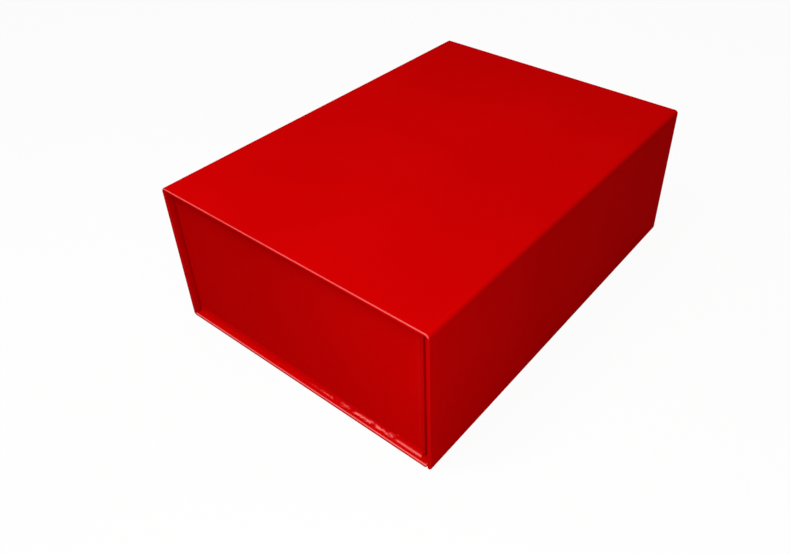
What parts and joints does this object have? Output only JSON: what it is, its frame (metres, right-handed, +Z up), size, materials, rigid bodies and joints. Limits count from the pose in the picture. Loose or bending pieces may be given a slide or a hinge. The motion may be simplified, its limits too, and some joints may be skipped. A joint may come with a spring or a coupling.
{
  "type": "rigid gift box",
  "caption": "Rectangular rigid gift box: a wrapped board tray in a book-style cover, with a lid that turns on a paper fold and a front flap held shut by hidden magnets.",
  "frame": {"origin": "the middle of the footprint, on the surface that the closed box stands on", "axes": "+X along the box, -Y towards the front flap, +Y towards the spine, +Z up through the lid"},
  "size_m": [0.33, 0.238, 0.12],
  "materials": {
    "red_cover_paper": "satin laminated",
    "red_lining_paper": "matte",
    "grey_board": "matte",
    "stay_tape": "matte",
    "magnet": "satin nickel plate",
    "steel_disc": "satin"
  },
  "bodies": {
    "box": {"base_board": "grey_board", "base_spine_fold": "red_cover_paper", "base_wrap": "red_cover_paper", "corner_stay_back_left": "stay_tape", "corner_stay_back_right": "stay_tape", "corner_stay_front_left": "stay_tape", "corner_stay_front_right": "stay_tape", "spine_board": "grey_board", "spine_lid_fold": "red_cover_paper", "spine_lid_hinge_strip": "red_lining_paper", "spine_lining": "red_lining_paper", "spine_wrap": "red_cover_paper", "tray_back_wall": "grey_board", "tray_bottom_board": "grey_board", "tray_disc_left": "steel_disc", "tray_disc_right": "steel_disc", "tray_floor_lining": "red_lining_paper", "tray_front_wall": "grey_board", "tray_left_wall": "grey_board", "tray_right_wall": "grey_board", "tray_wrap": "red_cover_paper"},
    "lid": {"lid_board": "grey_board", "lid_wrap": "red_cover_paper", "lid_lining": "red_lining_paper", "lid_flap_fold": "red_cover_paper", "lid_flap_hinge_strip": "red_lining_paper"},
    "flap": {"flap_board": "grey_board", "flap_wrap": "red_cover_paper", "flap_lining": "red_lining_paper", "flap_magnet_left": "magnet", "flap_magnet_right": "magnet"}
  },
  "joints": [
    {"name": "lid_hinge", "type": "hinge", "parent": "box", "child": "lid", "pos_m": [0, 0.11803, 0.11903], "axis": [-1, 0, 0], "range_deg": [0, 180], "deforming": ["spine_lid_fold", "spine_lid_hinge_strip"]},
    {"name": "flap_hinge", "type": "hinge", "parent": "lid", "child": "flap", "pos_m": [0, -0.11803, 0.11903], "axis": [-1, 0, 0], "range_deg": [0, 90], "deforming": ["lid_flap_fold", "lid_flap_hinge_strip"]}
  ]
}
